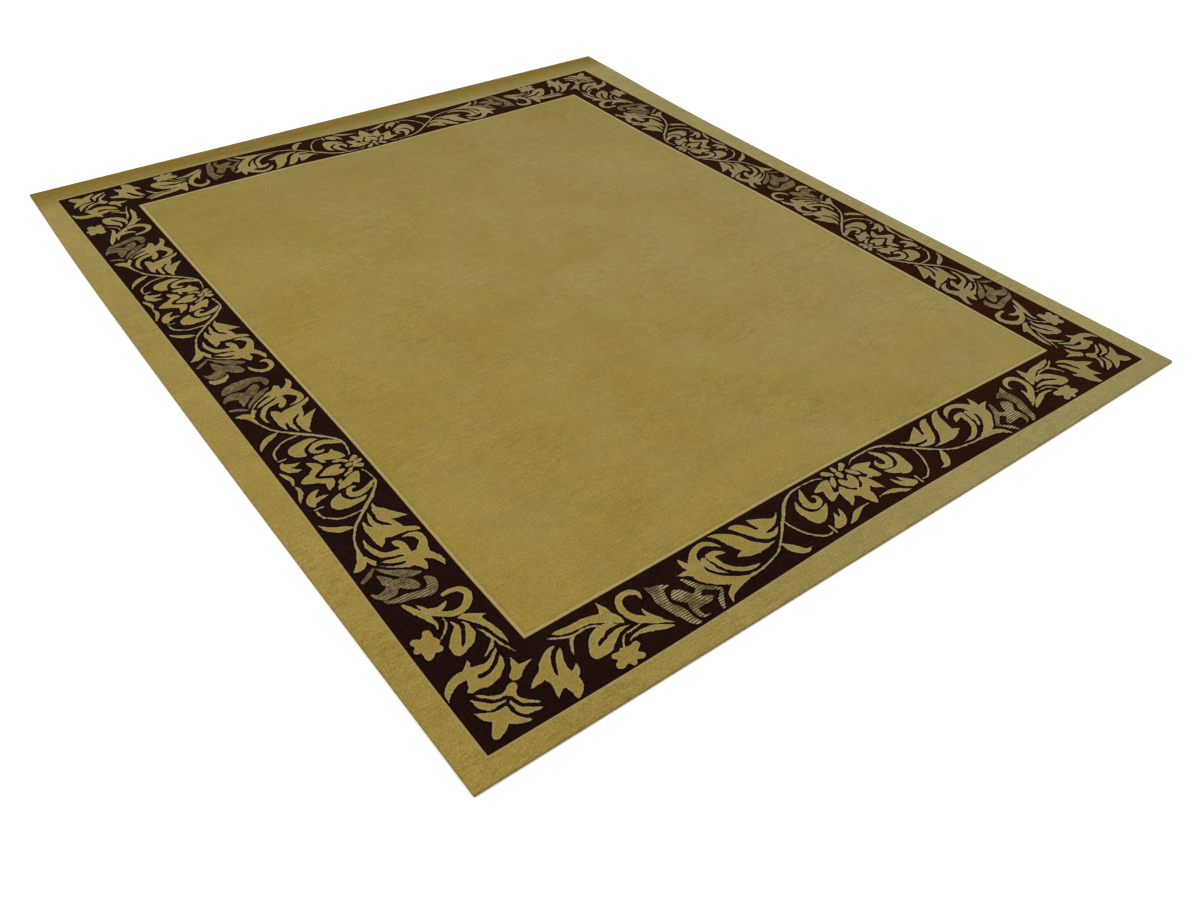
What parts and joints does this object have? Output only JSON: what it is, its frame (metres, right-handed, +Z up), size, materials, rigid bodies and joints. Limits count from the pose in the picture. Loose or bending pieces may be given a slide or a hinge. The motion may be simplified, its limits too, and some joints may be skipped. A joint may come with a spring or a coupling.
{
  "type": "nepalese rug",
  "caption": "Flat hand-knotted wool rug with a plain gold field, a carved dark border of scrolling foliage and a plain gold outer band.",
  "frame": {"origin": "middle of the flat underside, at the floor", "axes": "+X along the short sides, +Y along the long sides away from the viewer, +Z up out of the pile"},
  "size_m": [2.5448, 3.0106, 0.011],
  "materials": {
    "gold_wool": "matte cut wool pile with fine knot rows and soft changes of dye",
    "dark_wool": "matte cut wool pile, a little lower than the gold",
    "silk": "soft sheen, ribbed loops and cut pile",
    "foundation": "plain woven cotton back with knots in even rows"
  },
  "bodies": {
    "root": {"rug": "gold_wool"}
  },
  "joints": []
}
